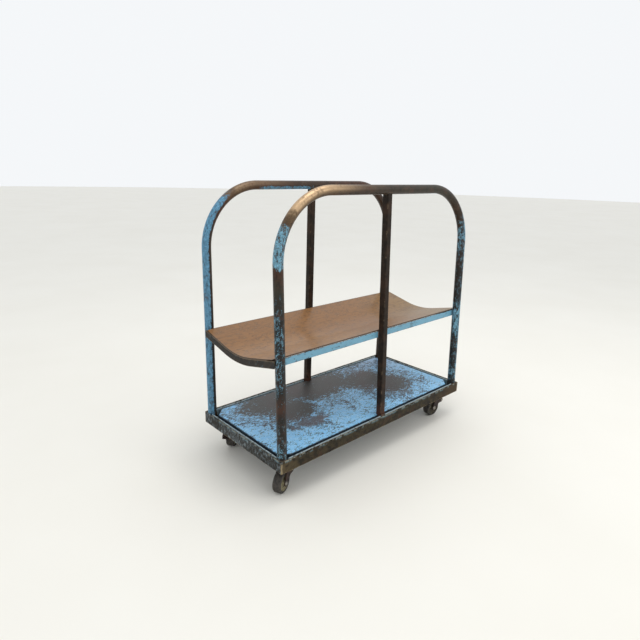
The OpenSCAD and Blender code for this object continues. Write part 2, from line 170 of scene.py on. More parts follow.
def leaned(side, x, y, z):
    """A point of a hoop's own plane, x along the cart and z up its posts from the frame's foot,
    carried to the cart: turned about the foot line by the hoop's lean and set on that side."""
    lean = LEAN[side]
    return np.stack(np.broadcast_arrays(x, side * POST_Y + y * math.cos(lean) + z * math.sin(lean),
                                        FOOT_Z + z * math.cos(lean) - y * math.sin(lean)), -1)


def trough_z(y, depth):
    """Height of the trough's line at y and a depth below its top, from the long edges' height: an
    arc about a centre over the middle, and straight slopes beyond it that touch the arc."""
    reach = TROUGH_R + depth
    arc = TROUGH_R - TROUGH_DROP - np.sqrt(np.maximum(reach ** 2 - y ** 2, 0))
    slope = (np.abs(y) - SHELF_HALF) * math.tan(SLOPE) - depth / math.cos(SLOPE)
    return np.where(np.abs(y) < reach * math.sin(SLOPE), arc, slope)


# ---- finishes: one class for sums of sockets, one for a material's nodes

class Value:
    """A number or colour that varies over a surface; sums of values add their Math nodes."""

    def __init__(self, finish, socket):
        self.finish, self.socket = finish, socket

    def math(self, operation, *others, **settings):
        return self.finish.node("ShaderNodeMath", {"operation": operation, **settings}, [self, *others])

    def __add__(self, other):
        return self.math("ADD", other)

    def __sub__(self, other):
        return self.math("SUBTRACT", other)

    def __rsub__(self, other):
        return self.finish.node("ShaderNodeMath", {"operation": "SUBTRACT"}, [other, self])

    def __mul__(self, other):
        return self.math("MULTIPLY", other)

    def __truediv__(self, other):
        return self.math("DIVIDE", other)

    __radd__, __rmul__ = __add__, __mul__

    def most(self, other):
        return self.math("MAXIMUM", other)

    def over(self, level, soft):
        """0 below the level, 1 above it, with a smooth step of half-width soft."""
        return self.finish.node("ShaderNodeMapRange", {"interpolation_type": "SMOOTHSTEP"},
                                {0: self, 1: level - soft, 2: level + soft})

    def flip(self):
        """0 where this is 1 and 1 where it is 0."""
        return 1 - self

    def between(self, low, high, soft):
        """1 from low to high, 0 outside, with the same smooth steps."""
        return self.over(low, soft) * self.over(high, soft).flip()


def srgb(*channels):
    """A colour from 0 to 255 a channel, as the renderer's linear numbers."""
    c = np.asarray(channels, float) / 255
    return (*np.where(c <= 0.04045, c / 12.92, ((c + 0.055) / 1.055) ** 2.4).tolist(), 1.0)


class Finish:
    """One material's node tree, built from the surface's own coordinates."""

    def __init__(self, name, **constants):
        self.material = bpy.data.materials.new(name)
        self.material.use_nodes = True
        self.tree = self.material.node_tree
        self.shader = next(n for n in self.tree.nodes if n.type == "BSDF_PRINCIPLED")
        for socket, value in constants.items():
            self.shader.inputs[socket.replace("_", " ")].default_value = value
        self.place = self.node("ShaderNodeTexCoord", output="Object")
        self.x, self.y, self.z = (self.node("ShaderNodeSeparateXYZ", inputs=[self.place], output=k)
                                  for k in range(3))
        self.seed = 0.0

    def node(self, kind, settings=None, inputs=(), output=0):
        """Adds a node: its settings first, then the values or links of its sockets."""
        node = self.tree.nodes.new(kind)
        for key, value in (settings or {}).items():
            if key == "stops":
                ramp = node.color_ramp
                while len(ramp.elements) < len(value):
                    ramp.elements.new(0.5)
                for element, (position, colour) in zip(ramp.elements, value):
                    element.position = position
                    element.color = colour if isinstance(colour, tuple) else (colour, colour, colour, 1)
            else:
                setattr(node, key, value)
        pairs = inputs.items() if isinstance(inputs, dict) else enumerate(inputs)
        for key, value in pairs:
            if isinstance(value, Value):
                self.tree.links.new(value.socket, node.inputs[key])
            else:
                node.inputs[key].default_value = value
        return Value(self, node.outputs[output])

    def noise(self, size, detail=3.0, rough=0.55, stretch=None, turn=0):
        """Soft blotches about as large as size, in metres. A stretch lengthens them along x, y, z,
        after the ground plan is turned by so many degrees."""
        self.seed += 3.7
        where = self.place
        if turn:
            where = self.node("ShaderNodeVectorRotate", {"rotation_type": "Z_AXIS"},
                              {"Vector": where, "Angle": math.radians(turn)})
        if stretch:
            where = self.node("ShaderNodeVectorMath", {"operation": "DIVIDE"}, [where, stretch])
        return self.node("ShaderNodeTexNoise", {"noise_dimensions": "4D"},
                         {"Vector": where, "W": self.seed, "Scale": 1 / size, "Detail": detail,
                          "Roughness": rough})

    def field(self, name):
        return self.node("ShaderNodeAttribute", {"attribute_name": name}, output="Fac")

    def mix(self, under, upper, amount):
        return self.node("ShaderNodeMix", {"data_type": "RGBA"}, {0: amount, 6: under, 7: upper}, output=2)

    def ramp(self, value, stops):
        return self.node("ShaderNodeValToRGB", {"stops": stops}, [value])

    def patch(self, centre, reach):
        """1 at the centre of an oval patch on the ground plan, 0 at its edge, less beyond."""
        across = (self.x - centre[0]) / reach[0]
        along = (self.y - centre[1]) / reach[1]
        return 1 - (across * across + along * along)

    def scratches(self, length, width, turn, level):
        """Thin scratches on the ground plan: blotches drawn out far along one direction."""
        self.seed += 3.7
        turned = self.node("ShaderNodeMapping", {"vector_type": "POINT"},
                           {0: self.place, 2: (0.0, 0.0, math.radians(turn)),
                            3: (1 / length, 1 / width, 1 / length)})
        line = self.node("ShaderNodeTexNoise", {"noise_dimensions": "4D"},
                         {"Vector": turned, "W": self.seed, "Scale": 1.0, "Detail": 2.0, "Roughness": 0.5})
        return line.over(level, 0.02)

    def finish(self, colour, roughness, height=None, depth=0.4 * MM, metal=None):
        """Joins the results to the shader. The height, times the depth in metres, is the relief."""
        pairs = {"Base Color": colour, "Roughness": roughness, "Metallic": metal}
        if height is not None:
            pairs["Normal"] = self.node("ShaderNodeBump", {},
                                        {"Strength": 1.0, "Distance": depth, "Height": height})
        for socket, value in pairs.items():
            if isinstance(value, Value):
                self.tree.links.new(value.socket, self.shader.inputs[socket])
            elif value is not None:
                self.shader.inputs[socket].default_value = value
        return self.material


def frame_paint():
    """Bronze-brown paint gone blotchy, rubbed pale along the edges, and down the base's outer corners where
    the rub is also a painted highlight; nearly black on the left end, partly painted shade for that face,
    with pale blue-grey remains that have run down."""
    f = Finish("frame_paint", Specular_IOR_Level=0.15)
    broad, mid, fine = f.noise(60 * MM, 4), f.noise(14 * MM, 4, 0.6), f.noise(2.5 * MM, 3, 0.6)
    colour = f.mix(srgb(36, 31, 21), srgb(66, 57, 39), mid.over(0.5, 0.14))
    colour = f.mix(colour, srgb(66, 42, 32), broad.over(0.56, 0.06) * mid.over(0.44, 0.12) * 0.7)
    colour = f.mix(colour, srgb(22, 20, 17), f.noise(20 * MM, 5, 0.7).over(0.55, 0.05) * 0.85)
    left = 1 - f.x.over(-HALF_L + 4 * MM, 3 * MM)
    runs = f.noise(5 * MM, 5, 0.72, (1, 1, 2.4)) * 0.75 + broad * 0.25
    # painted shade: the left end face's dark paint is deepened nearly black, for a face that gets less light
    colour = f.mix(colour, srgb(36, 35, 32), left * 0.8)
    colour = f.mix(colour, srgb(96, 104, 108), left * runs.over(0.52, 0.04) * 0.8)
    colour = f.mix(colour, srgb(168, 184, 190), left * runs.over(0.595, 0.03) * 0.9)
    corner = (1 - f.x.over(-HALF_L + 40 * MM, 45 * MM)) * (1 - left) * mid.over(0.42, 0.1)
    colour = f.mix(colour, srgb(92, 80, 56), corner * 0.75)
    right = f.x.over(HALF_L - 90 * MM, 60 * MM)
    colour = f.mix(colour, srgb(74, 56, 35), right * broad.over(0.45, 0.15) * 0.7)
    blue = f.z.over(FRAME_TOP - 5 * MM, 4 * MM) * mid.over(0.52, 0.06)
    colour = f.mix(colour, srgb(112, 146, 158), blue * 0.7)
    # rub: pale worn edges; down the outer corner edges it is also a painted highlight
    rub = (f.field("edge") + (mid - 0.5) * 2.2 + (fine - 0.5) * 0.9).over(0.98, 0.16)
    colour = f.mix(colour, srgb(150, 134, 104), rub * 0.85)
    chip = (fine * 0.55 + mid * 0.45).over(0.59, 0.03)
    colour = f.mix(colour, srgb(28, 25, 22), chip * 0.8)
    relief = mid * 0.5 + fine * 0.3 - chip * 0.3
    return f.finish(colour, 0.42 + mid * 0.3 - rub * 0.1, relief, 0.5 * MM, rub * 0.3)


def edge_paint():
    """Light blue paint on the thin strips, rubbed nearly white on top, with dark breaks."""
    f = Finish("edge_paint")
    mid, fine = f.noise(16 * MM, 4, 0.6), f.noise(3 * MM, 3)
    colour = f.mix(srgb(112, 146, 162), srgb(176, 198, 206), mid.over(0.47, 0.12))
    worn = (mid * 0.6 + fine * 0.4).over(0.55, 0.04)
    colour = f.mix(colour, srgb(70, 66, 58), worn * 0.85)
    colour = f.mix(colour, srgb(206, 212, 210), f.field("edge") * (1 - worn) * 0.5)
    return f.finish(colour, 0.4 + mid * 0.25, mid - worn * 0.5, 0.3 * MM)


def deck_paint():
    """Light blue paint on the deck, worn through to dark steel in one large patch with a second
    lobe to the right, speckled and scratched around it, lilac and duller towards the back right."""
    f = Finish("deck_paint")
    broad, mid = f.noise(90 * MM, 3), f.noise(22 * MM, 4, 0.6)
    small, fine = f.noise(7 * MM, 4, 0.6), f.noise(2 * MM, 3, 0.6)
    first, *more = [((-0.21, 0.11), (0.13, 0.085)), ((-0.185, 0.025), (0.10, 0.075)),
                    ((-0.02, 0.11), (0.20, 0.11)), ((0.15, 0.045), (0.11, 0.085)),
                    ((0.205, -0.035), (0.095, 0.085))]
    worn = f.patch(*first)
    for oval in more:
        worn = worn.most(f.patch(*oval))
    streak, cross = (f.noise(3.2 * MM, 4, 0.7, (3, 1, 1), turn) for turn in (32, -24))
    grit = (streak - 0.5) * 0.6 + (cross - 0.5) * 0.6 + (fine - 0.5) * 0.25
    bare = (worn + grit * 4.5 + (mid - 0.5) * 1.2 + (broad - 0.5) * 0.4).over(0.16, 0.2)
    near = worn.over(-1.1, 1.0)
    speck = (grit + (mid - 0.5) * 0.35 + (broad - 0.5) * 0.3 + near * 0.07).over(0.058, 0.026)
    back_right = (f.x * 0.8 + f.y * 1.9 + (broad - 0.5) * 0.25).over(0.38, 0.22)
    colour = f.mix(srgb(94, 174, 230), srgb(164, 222, 255), broad * 0.5 + mid * 0.5)
    colour = f.mix(colour, srgb(130, 148, 176), back_right * 0.7)
    colour = f.mix(colour, srgb(188, 222, 244), small.over(0.58, 0.08) * 0.5)
    scuff = f.scratches(120 * MM, 1.6 * MM, 12, 0.66).most(f.scratches(80 * MM, 1.4 * MM, -38, 0.68))
    colour = f.mix(colour, srgb(196, 222, 240), scuff * 0.45 * (1 - bare))
    colour = f.mix(colour, srgb(28, 36, 50), speck * (1 - bare) * 0.97)
    smudge = f.patch((-0.19, -0.065), (0.08, 0.035)) + (mid - 0.5) * 2.4 + (small - 0.5) * 1.4
    smudge = smudge.over(0.55, 0.2)
    colour = f.mix(colour, srgb(88, 84, 92), smudge * (1 - bare) * 0.8)
    steel = f.mix(srgb(62, 62, 61), srgb(88, 87, 84), mid * 0.6 + small * 0.4)
    steel = f.mix(steel, srgb(84, 72, 72), broad.over(0.55, 0.1) * 0.5)
    left_bits = (streak * 0.5 + fine * 0.5).over(0.60, 0.03)
    steel = f.mix(steel, srgb(128, 164, 190), left_bits * (1 - worn.over(0.5, 0.4)) * 0.8)
    colour = f.mix(colour, steel, bare)
    # painted shade: a dark line along the deck's rounded edge, beside the gap to the strips, broken up by noise
    rim = (f.field("edge") + (small - 0.5) * 1.4).over(0.8, 0.15)
    colour = f.mix(colour, srgb(60, 58, 56), rim * 0.8)
    # painted shade: everything below the deck's top, the fold down into the gap and the underside, is painted
    # nearly black
    fold = 1 - f.z.over(FRAME_TOP - 2.5 * MM, 1 * MM)
    colour = f.mix(colour, srgb(26, 30, 34), fold * 0.9)
    level = 1 - bare * 0.8 - speck * 0.4 - rim * 0.5
    relief = level * 0.6 + broad * 2.5 + fine * 0.08 - scuff * 0.2
    return f.finish(colour, 0.30 + mid * 0.16 + bare * 0.08, relief, 0.4 * MM, bare * 0.35)


def hoop_paint(name, coat_stops, blue_stops, highlight_stops, blue, inner_dark, under_blue):
    """Paint on a hoop's tube, changing along its length. The ramps give the dark coat's colour, whose
    lighter bronze on the bends is partly a painted highlight, how much blue is left, in small flecks
    drawn out up the posts, and where the bends are polished bare on their outer side and painted pale
    tan there as a highlight. On the tube's inner side less blue is left on the posts and more under
    the left of the top."""
    f = Finish(name, Specular_IOR_Level=0.25)
    along = f.field("along") / HOOP_LENGTH
    inner = f.field("inner")
    broad, mid = f.noise(30 * MM, 4, 0.65), f.noise(6 * MM, 5, 0.72, (1, 1, 2))
    fine = f.noise(2 * MM, 4, 0.7, (1, 1, 1.8))
    shift = along + (broad - 0.5) * 0.035 + (mid - 0.5) * 0.02
    outside = 1 - inner.over(0.1, 0.6)
    polish_highlight = f.ramp(shift, highlight_stops) * outside * (mid * 0.5 + broad * 0.5).over(0.42, 0.12)
    brown = f.ramp(shift, coat_stops)
    brown = f.mix(brown, srgb(20, 18, 16), (mid * 0.6 + fine * 0.4).over(0.53, 0.05) * (1 - polish_highlight) * 0.8)
    brown = f.mix(brown, srgb(96, 76, 54), (broad * 0.4 + mid * 0.6).over(0.57, 0.05) * 0.5)
    # painted highlight: the polished outer side of the bends is painted pale tan
    brown = f.mix(brown, srgb(214, 182, 144), polish_highlight * 0.85)
    left = (f.ramp(shift, blue_stops) + (mid - 0.5) * 1.9 + (fine - 0.5) * 1.8 + (broad - 0.5) * 0.4
            - inner.over(0.05, 0.4) * along.between(0.38, 0.62, 0.03).flip() * inner_dark
            + inner.over(0.2, 0.3) * along.between(0.39, 0.50, 0.02) * under_blue).over(0.5, 0.08)
    deep, light = ([min(255, share * channel) for channel in blue] for share in (0.68, 1.2))
    coat = f.mix(srgb(*deep), srgb(*light), mid.over(0.5, 0.2))
    coat = f.mix(coat, srgb(38, 44, 48), (fine * 0.6 + mid * 0.4).over(0.56, 0.04) * 0.85)
    colour = f.mix(brown, coat, left)
    rust = (f.noise(8 * MM, 4, 0.65) * 0.6 + broad * 0.4).over(0.57, 0.04)
    colour = f.mix(colour, srgb(74, 46, 36), rust * (1 - polish_highlight) * 0.6)
    relief = left * 0.5 + mid * 0.3 + fine * 0.1
    return f.finish(colour, 0.28 + mid * 0.22 + left * 0.06, relief, 0.4 * MM, polish_highlight * (1 - left) * 0.7)


def post_paint():
    """Dark brown paint on the square posts, a little glossy, with rubbed corners and grey specks."""
    f = Finish("post_paint", Specular_IOR_Level=0.15)
    broad, mid, fine = f.noise(50 * MM, 4), f.noise(12 * MM, 4, 0.6), f.noise(2.5 * MM, 3)
    colour = f.mix(srgb(24, 18, 13), srgb(44, 33, 23), mid.over(0.5, 0.15))
    colour = f.mix(colour, srgb(62, 42, 30), broad.over(0.55, 0.07) * 0.5)
    low = 1 - f.z.over(FRAME_TOP + 25 * MM, 30 * MM)
    colour = f.mix(colour, srgb(80, 50, 38), low * mid.over(0.45, 0.1) * 0.8)
    rub = (f.field("edge") + (mid - 0.5) * 2.0 + (fine - 0.5) * 0.6).over(1.2, 0.12)
    colour = f.mix(colour, srgb(92, 78, 62), rub * 0.8)
    speck = (fine * 0.7 + mid * 0.3).over(0.66, 0.02)
    colour = f.mix(colour, srgb(84, 92, 96), speck * 0.5)
    return f.finish(colour, 0.34 + mid * 0.25, mid * 0.5 + fine * 0.2, 0.4 * MM)


def shelf_rail_paint():
    """Blue paint on the shelf's side rails, chipped dark along the edges."""
    f = Finish("shelf_rail_paint", Specular_IOR_Level=0.4)
    broad, mid, fine = f.noise(60 * MM, 3), f.noise(9 * MM, 4, 0.65), f.noise(2.5 * MM, 3)
    colour = f.mix(srgb(88, 138, 162), srgb(124, 176, 200), broad * 0.5 + mid * 0.5)
    chip = (f.field("edge") * 0.38 + (mid - 0.5) * 2.4 + (fine - 0.5) * 1.3).over(0.40, 0.07)
    streak = f.noise(5 * MM, 4, 0.6, (8, 1, 1)).over(0.62, 0.03)
    colour = f.mix(colour, srgb(62, 70, 74), streak * 0.7)
    colour = f.mix(colour, srgb(48, 44, 42), chip * 0.9)
    return f.finish(colour, 0.33 + mid * 0.2 + chip * 0.15, 1 - chip + mid * 0.3, 0.35 * MM)


def shelf_end_paint():
    """Nearly black brown paint on the end rails, with a thin pale worn top edge and blue remains."""
    f = Finish("shelf_end_paint", Specular_IOR_Level=0.25)
    mid, fine = f.noise(11 * MM, 4, 0.6), f.noise(2.5 * MM, 3)
    colour = f.mix(srgb(24, 21, 19), srgb(52, 44, 36), mid.over(0.52, 0.13))
    colour = f.mix(colour, srgb(70, 88, 96), f.noise(18 * MM, 4, 0.6).over(0.6, 0.04) * 0.5)
    rub = (f.field("edge") + (mid - 0.5) * 1.2 + (fine - 0.5) * 0.6).over(0.8, 0.14)
    colour = f.mix(colour, srgb(132, 118, 96), rub * 0.8)
    return f.finish(colour, 0.4 + mid * 0.25, mid * 0.6 + fine * 0.2, 0.4 * MM, rub * 0.3)


def shelf_board():
    """Brown bent board, satin, with a faint long grain, lighter at the front left, greyer at the
    right end, stained in a few places, with a dark worn edge."""
    f = Finish("shelf_board", Specular_IOR_Level=0.35, Coat_Weight=0.18, Coat_Roughness=0.2)
    broad, mid = f.noise(160 * MM, 3), f.noise(35 * MM, 4)
    small, fine = f.noise(9 * MM, 4, 0.65, (1.6, 1, 1)), f.noise(2.2 * MM, 3)
    grain = f.noise(2.2 * MM, 4, 0.6, (30, 1, 1))
    colour = f.mix(srgb(120, 82, 44), srgb(146, 104, 60), broad * 0.5 + mid * 0.5)
    light = (f.patch((-0.30, -0.10), (0.32, 0.16)) + (mid - 0.5) * 0.8).over(0.3, 0.5)
    colour = f.mix(colour, srgb(156, 114, 68), light * 0.6)
    right = (f.x + (broad - 0.5) * 0.2 - f.y * 0.5).over(0.26, 0.2)
    colour = f.mix(colour, srgb(134, 114, 76), right * 0.7)
    stain = f.patch((0.325, 0.01), (0.04, 0.022)).most(f.patch((0.22, 0.09), (0.07, 0.03)))
    stain = (stain + (small - 0.5) * 2).over(0.6, 0.6)
    colour = f.mix(colour, srgb(96, 70, 44), stain * 0.35)
    colour = f.mix(colour, srgb(92, 62, 38), grain.over(0.55, 0.08) * 0.4)
    colour = f.mix(colour, srgb(84, 56, 34), small.over(0.55, 0.06) * 0.55)
    colour = f.mix(colour, srgb(168, 140, 104), (small * 0.5 + fine * 0.5).over(0.585, 0.03) * 0.45)
    rim = (f.field("edge") + (small - 0.5) * 0.8).over(0.6, 0.2)
    colour = f.mix(colour, srgb(48, 35, 26), rim * 0.85)
    return f.finish(colour, 0.40 + mid * 0.14, grain * 0.25 + small * 0.3 + broad * 1.5, 0.25 * MM)


def caster_metal():
    """Dark plum-brown grimy metal, with brown patches and pale flecks of dust."""
    f = Finish("caster_metal", Specular_IOR_Level=0.25)
    mid, fine = f.noise(9 * MM, 4, 0.6), f.noise(1.8 * MM, 3)
    colour = f.mix(srgb(30, 22, 22), srgb(62, 46, 42), mid.over(0.5, 0.14))
    colour = f.mix(colour, srgb(74, 56, 40), f.noise(14 * MM, 4).over(0.57, 0.05) * 0.6)
    colour = f.mix(colour, srgb(118, 106, 94), (fine * 0.5 + mid * 0.5).over(0.60, 0.03) * 0.5)
    return f.finish(colour, 0.38 + mid * 0.3, mid * 0.5 + fine * 0.2, 0.3 * MM, 0.25)


def bare_steel():
    """Dark mill steel under the deck, with rust bloom."""
    f = Finish("bare_steel")
    mid, fine = f.noise(16 * MM, 4, 0.6), f.noise(2 * MM, 3)
    colour = f.mix(srgb(58, 54, 50), srgb(84, 78, 70), mid)
    colour = f.mix(colour, srgb(104, 66, 44), f.noise(24 * MM, 5, 0.65).over(0.56, 0.05) * 0.7)
    return f.finish(colour, 0.5 + mid * 0.2, mid * 0.5 + fine * 0.3, 0.3 * MM, 0.3)


def pin_steel():
    """Dull turned steel with patches of grease."""
    f = Finish("pin_steel")
    mid, fine = f.noise(5 * MM, 3, 0.6), f.noise(1 * MM, 2)
    colour = f.mix(srgb(112, 106, 98), srgb(168, 164, 156), mid)
    grease = f.noise(7 * MM, 4, 0.6).over(0.54, 0.05)
    colour = f.mix(colour, srgb(52, 44, 38), grease * 0.8)
    return f.finish(colour, 0.34 + grease * 0.3, mid * 0.4 + fine * 0.2, 0.15 * MM, 0.75)


def tyre_rubber():
    """Black rubber, scuffed grey and dusty on the tread."""
    f = Finish("tyre_rubber")
    mid, fine = f.noise(6 * MM, 4, 0.6), f.noise(1.2 * MM, 3)
    colour = f.mix(srgb(16, 15, 15), srgb(34, 32, 31), mid)
    scuff = (f.field("edge") * 0.5 + (mid - 0.5) * 1.6 + (fine - 0.5)).over(0.45, 0.2)
    colour = f.mix(colour, srgb(92, 86, 78), scuff * 0.5)
    return f.finish(colour, 0.62 + mid * 0.25, mid * 0.5 + fine * 0.4, 0.25 * MM)


def wheel_core():
    """Tan moulded core with patches of dirt, darker on the right-hand wheels as painted shade."""
    f = Finish("wheel_core", Specular_IOR_Level=0.3)
    mid, fine = f.noise(8 * MM, 4, 0.6), f.noise(1.5 * MM, 3)
    colour = f.mix(srgb(112, 104, 80), srgb(158, 150, 120), mid)
    # patches of dirt from noise, plus painted shade that darkens the right-hand wheels (x above 0)
    dirt_and_shade = f.noise(11 * MM, 5, 0.65) + f.x.over(0, 0.1) * 0.16
    colour = f.mix(colour, srgb(42, 36, 30), dirt_and_shade.over(0.56, 0.06) * 0.9)
    return f.finish(colour, 0.5 + mid * 0.2, mid * 0.5 + fine * 0.3, 0.2 * MM)


def weld_metal():
    """Weld beads painted over dark, lighter in patches, with reddish spots."""
    f = Finish("weld_metal")
    mid, fine = f.noise(5 * MM, 4, 0.6), f.noise(1.2 * MM, 3)
    colour = f.mix(srgb(52, 43, 35), srgb(96, 82, 66), mid)
    colour = f.mix(colour, srgb(120, 74, 52), f.noise(8 * MM, 3).over(0.56, 0.05) * 0.7)
    return f.finish(colour, 0.4 + mid * 0.25, mid * 0.5 + fine * 0.4, 0.3 * MM, 0.3)


HOOP_LENGTH = 2 * (HOOP_TOP - BEND_R) + math.pi * BEND_R + 2 * (POST_X - BEND_R)
DARK, OLIVE, RUST = srgb(32, 30, 27), srgb(50, 47, 37), srgb(70, 44, 31)
# The bronze coat used on the bends is lighter than the rest partly as a painted highlight.
BRONZE_HIGHLIGHT, UMBER = srgb(88, 68, 46), srgb(54, 40, 29)
FRONT_COAT = [(0.0, DARK), (0.07, DARK), (0.085, RUST), (0.10, DARK), (0.20, DARK), (0.235, OLIVE),
              (0.25, RUST), (0.27, UMBER), (0.32, BRONZE_HIGHLIGHT), (0.39, BRONZE_HIGHLIGHT), (0.43, UMBER), (0.62, OLIVE),
              (0.68, UMBER), (0.80, DARK), (1.0, DARK)]
FRONT_BLUE = [(0.0, 0.22), (0.02, 0.44), (0.05, 0.28), (0.085, 0.20), (0.11, 0.36), (0.185, 0.40),
              (0.225, 0.26), (0.243, 0.06), (0.252, 0.10), (0.262, 0.66), (0.285, 0.62), (0.305, 0.58),
              (0.318, 0.0), (0.66, 0.0), (0.70, 0.48), (0.725, 0.64), (0.75, 0.52), (0.79, 0.42),
              (0.835, 0.46), (0.855, 0.72), (0.885, 0.70), (0.90, 0.46), (0.95, 0.48), (0.97, 0.56),
              (1.0, 0.34)]
# Where the bends are polished bare, and painted pale tan as a highlight.
FRONT_POLISH_HIGHLIGHT = [(0.0, 0.0), (0.318, 0.0), (0.33, 0.9), (0.38, 0.95), (0.41, 0.55), (0.45, 0.1),
                (0.5, 0.0), (1.0, 0.0)]
BACK_COAT = [(0.0, OLIVE), (0.15, DARK), (0.28, UMBER), (0.32, RUST), (0.36, BRONZE_HIGHLIGHT), (0.40, RUST),
             (0.50, UMBER), (0.60, RUST), (0.68, UMBER), (1.0, UMBER)]
BACK_BLUE = [(0.0, 0.70), (0.08, 0.80), (0.14, 0.74), (0.155, 0.90), (0.22, 0.82), (0.26, 0.80),
             (0.32, 0.85), (0.335, 0.66), (0.35, 0.15), (0.38, 0.05), (0.5, 0.1), (0.55, 0.0), (1.0, 0.0)]
BACK_POLISH_HIGHLIGHT = [(0.0, 0.0), (0.33, 0.0), (0.36, 0.25), (0.40, 0.2), (0.46, 0.0), (1.0, 0.0)]
finishes = {
    "frame_paint": frame_paint(), "edge_paint": edge_paint(), "deck_paint": deck_paint(),
    "front_hoop_paint": hoop_paint("front_hoop_paint", FRONT_COAT, FRONT_BLUE, FRONT_POLISH_HIGHLIGHT,
                                   (112, 160, 182), 0.15, 0.0),
    "back_hoop_paint": hoop_paint("back_hoop_paint", BACK_COAT, BACK_BLUE, BACK_POLISH_HIGHLIGHT,
                                  (92, 142, 172), 1.0, 0.6),
    "post_paint": post_paint(), "shelf_rail_paint": shelf_rail_paint(), "shelf_end_paint": shelf_end_paint(),
    "shelf_board": shelf_board(), "caster_metal": caster_metal(), "bare_steel": bare_steel(),
    "pin_steel": pin_steel(), "tyre_rubber": tyre_rubber(), "wheel_core": wheel_core(),
}
weld = weld_metal()

for part in frame["record"]["subparts"]:
    shown = frame["nodes"][part["node"]]
    shown.data.materials.clear()
    shown.data.materials.append(finishes[part["material_slot"]])


# ---- base

def base_rail(name, way, half_long, half_across):
    """One side of the base: the angle's outline carried along a side of a rounded rectangle, from
    the middle of one corner to the middle of the next. At a depth u in from the outer face the
    rectangle is smaller by u all round and so is its corners' radius, down to a hair, so the ends
    come out mitred. Small dents are pushed in."""
    heel, toe = 1.2 * MM, 1 * MM
    corners = [(0, 0), (LEG, 0), (LEG, ANGLE_T), (ANGLE_T, ANGLE_T), (ANGLE_T, LEG), (0, LEG)]
    outline, edge = rounded_outline(corners, [heel, toe, toe, ROOT_R, toe, toe], 2.2 * MM)
    depth, rise = outline.T
    r = np.maximum(BASE_CORNER_R - depth, HAIR)
    swing = np.radians(np.linspace(0, 45, 5))[1:, None]
    side = np.linspace(-1, 1, 121)[:, None] * (half_long - depth - r)
    corner_x = half_long - depth - r + r * np.sin(swing)
    corner_y = half_across - depth - r + r * np.cos(swing)
    x = np.concatenate([-corner_x[::-1], side, corner_x])
    y = np.concatenate([corner_y[::-1], np.broadcast_to(half_across - depth, side.shape), corner_y])
    points = np.stack([x, -y, np.broadcast_to(FRAME_Z + rise, x.shape)], -1)
    dent = (np.clip(wobble(points, 70 * MM, 5), 0, 1) * 0.5 * MM
            + np.clip(wobble(points, 22 * MM, 6), 0, 1) * 0.15 * MM)
    points[..., 1] += np.where(depth < ANGLE_T * 0.6, dent, 0)
    turn = np.array([[math.cos(way), math.sin(way), 0], [-math.sin(way), math.cos(way), 0], [0, 0, 1]])
    # The last stations at each mitred corner carry more than full wear on the outer face: rubbed pale paint that
    # is also a painted highlight down the corner edge.
    corner_highlight = np.zeros((len(x), 1))
    corner_highlight[:5] = corner_highlight[-5:] = 1.25
    wear = np.maximum(edge, corner_highlight * (depth < 1 * MM))
    return surface(name, points @ turn, "base", "frame_paint", [name.replace("_angle", "")], edge=wear)


def strip(name, x0, x1, y0, y1, z0, z1, replaces=(), turned=False):
    """A strip beside the deck: a rounded rectangle in the cross plane carried from x0 to x1, or
    along y where it is turned."""
    outline, edge = rounded_outline([(y0, z0), (y1, z0), (y1, z1), (y0, z1)], 0.6 * MM, 1.2 * MM)
    x = np.linspace(x0, x1, 60)[:, None]
    points = np.stack(np.broadcast_arrays(x, outline[:, 0], outline[:, 1]), -1)
    if turned:
        points = points[..., [1, 0, 2]]
    return surface(name, points, "base", "edge_paint", replaces, edge=edge)


base_rail("rail_front_angle", 0.0, HALF_L, HALF_W)
base_rail("rail_back_angle", math.pi, HALF_L, HALF_W)
base_rail("rail_left_angle", -math.pi / 2, HALF_W, HALF_L)
base_rail("rail_right_angle", math.pi / 2, HALF_W, HALF_L)

for where, side in SIDES:
    lo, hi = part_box(f"deck_edge_{where}")
    gap = MID_HALF + 0.5 * MM
    strip(f"deck_edge_{where}_left_strip", lo.x, -gap, lo.y, hi.y, lo.z, hi.z, [f"deck_edge_{where}"])
    strip(f"deck_edge_{where}_right_strip", gap, hi.x, lo.y, hi.y, lo.z, hi.z)
for where, end in ENDS:
    lo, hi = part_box(f"deck_edge_{where}")
    strip(f"deck_edge_{where}_strip", lo.y, hi.y, lo.x, hi.x, lo.z, hi.z, [f"deck_edge_{where}"], turned=True)


